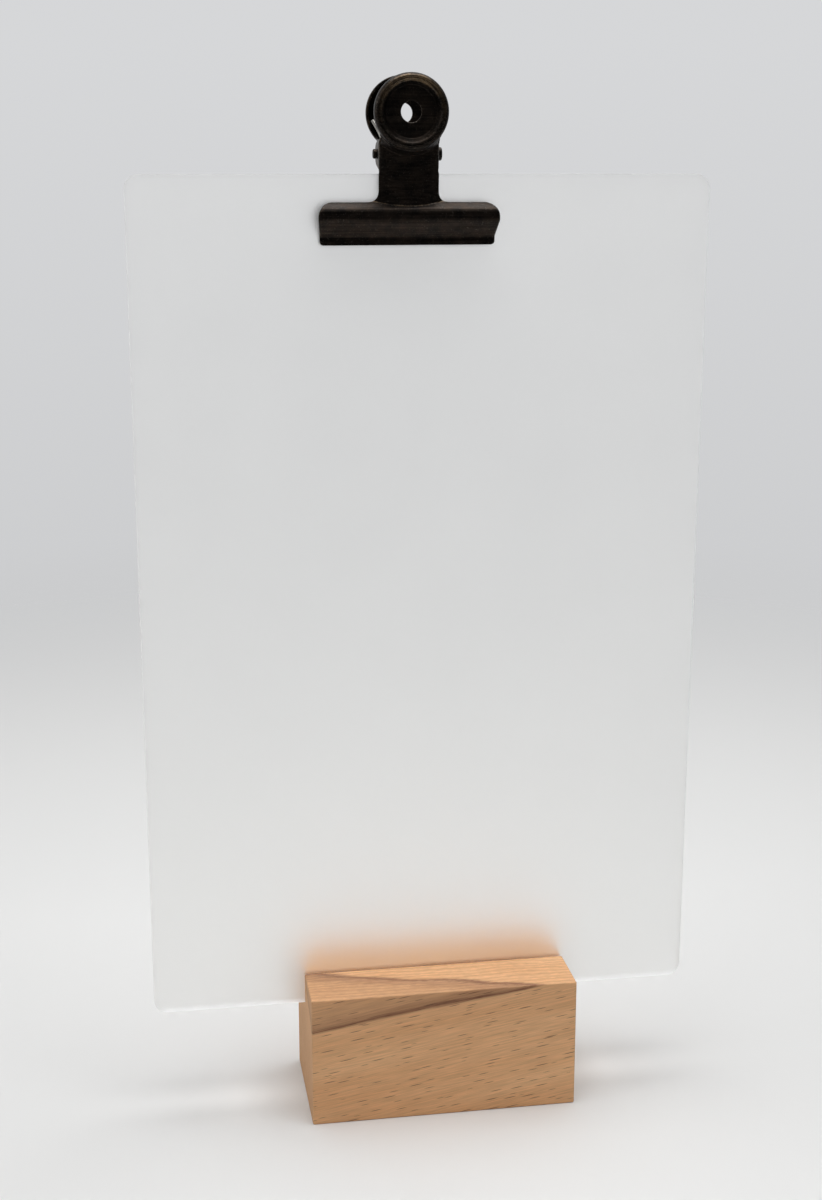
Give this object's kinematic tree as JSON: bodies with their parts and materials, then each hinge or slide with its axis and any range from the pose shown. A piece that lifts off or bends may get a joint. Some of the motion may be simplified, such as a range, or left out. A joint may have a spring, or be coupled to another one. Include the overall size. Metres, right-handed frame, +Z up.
{
  "type": "tabletop sign holder",
  "caption": "Slotted wooden block holding an upright frosted acrylic sheet, with a sprung finger-disc clip on the sheet's top edge for a menu or notice.",
  "frame": {"origin": "middle of the block's underside, on the table", "axes": "+Z up, the sheet's front faces -Y, +X runs along the block's length to the viewer's right"},
  "size_m": [0.2, 0.049, 0.3699],
  "materials": {
    "beech": "planed and lightly oiled beech",
    "frosted_acrylic": "frosted translucent acrylic with cut and polished edges",
    "clip_bronze": "dark bronze patina on pressed steel, worn brown on the rims",
    "spring_steel": "bare drawn spring wire"
  },
  "bodies": {
    "base": {"base_block": "beech"},
    "sheet": {"sign_sheet": "frosted_acrylic"},
    "clip_core": {"clip_hinge_pin": "clip_bronze", "clip_torsion_spring": "spring_steel"},
    "front_jaw": {"clip_front_jaw": "clip_bronze"},
    "rear_jaw": {"clip_rear_jaw": "clip_bronze"}
  },
  "joints": [
    {"name": "sheet_lift", "type": "slide", "parent": "base", "child": "sheet", "axis": [0, 0, 1], "range_m": [0, 0.02]},
    {"name": "clip_lift", "type": "slide", "parent": "sheet", "child": "clip_core", "axis": [0, 0, 1], "range_m": [0, 0.03]},
    {"name": "front_jaw_open", "type": "hinge", "parent": "clip_core", "child": "front_jaw", "pos_m": [-0.0102, 0, 0.344], "axis": [-1, 0, 0], "range_deg": [0, 16], "stiffness_Nm_per_rad": 0.06, "springref_deg": -34.38, "deforming": ["clip_torsion_spring"]},
    {"name": "rear_jaw_open", "type": "hinge", "parent": "clip_core", "child": "rear_jaw", "pos_m": [-0.0102, 0, 0.344], "axis": [1, 0, 0], "range_deg": [0, 16], "stiffness_Nm_per_rad": 0.06, "springref_deg": -34.38, "deforming": ["clip_torsion_spring"]}
  ],
  "couplings": [
    {"joint": "rear_jaw_open", "follows": "front_jaw_open", "ratio": 1}
  ]
}
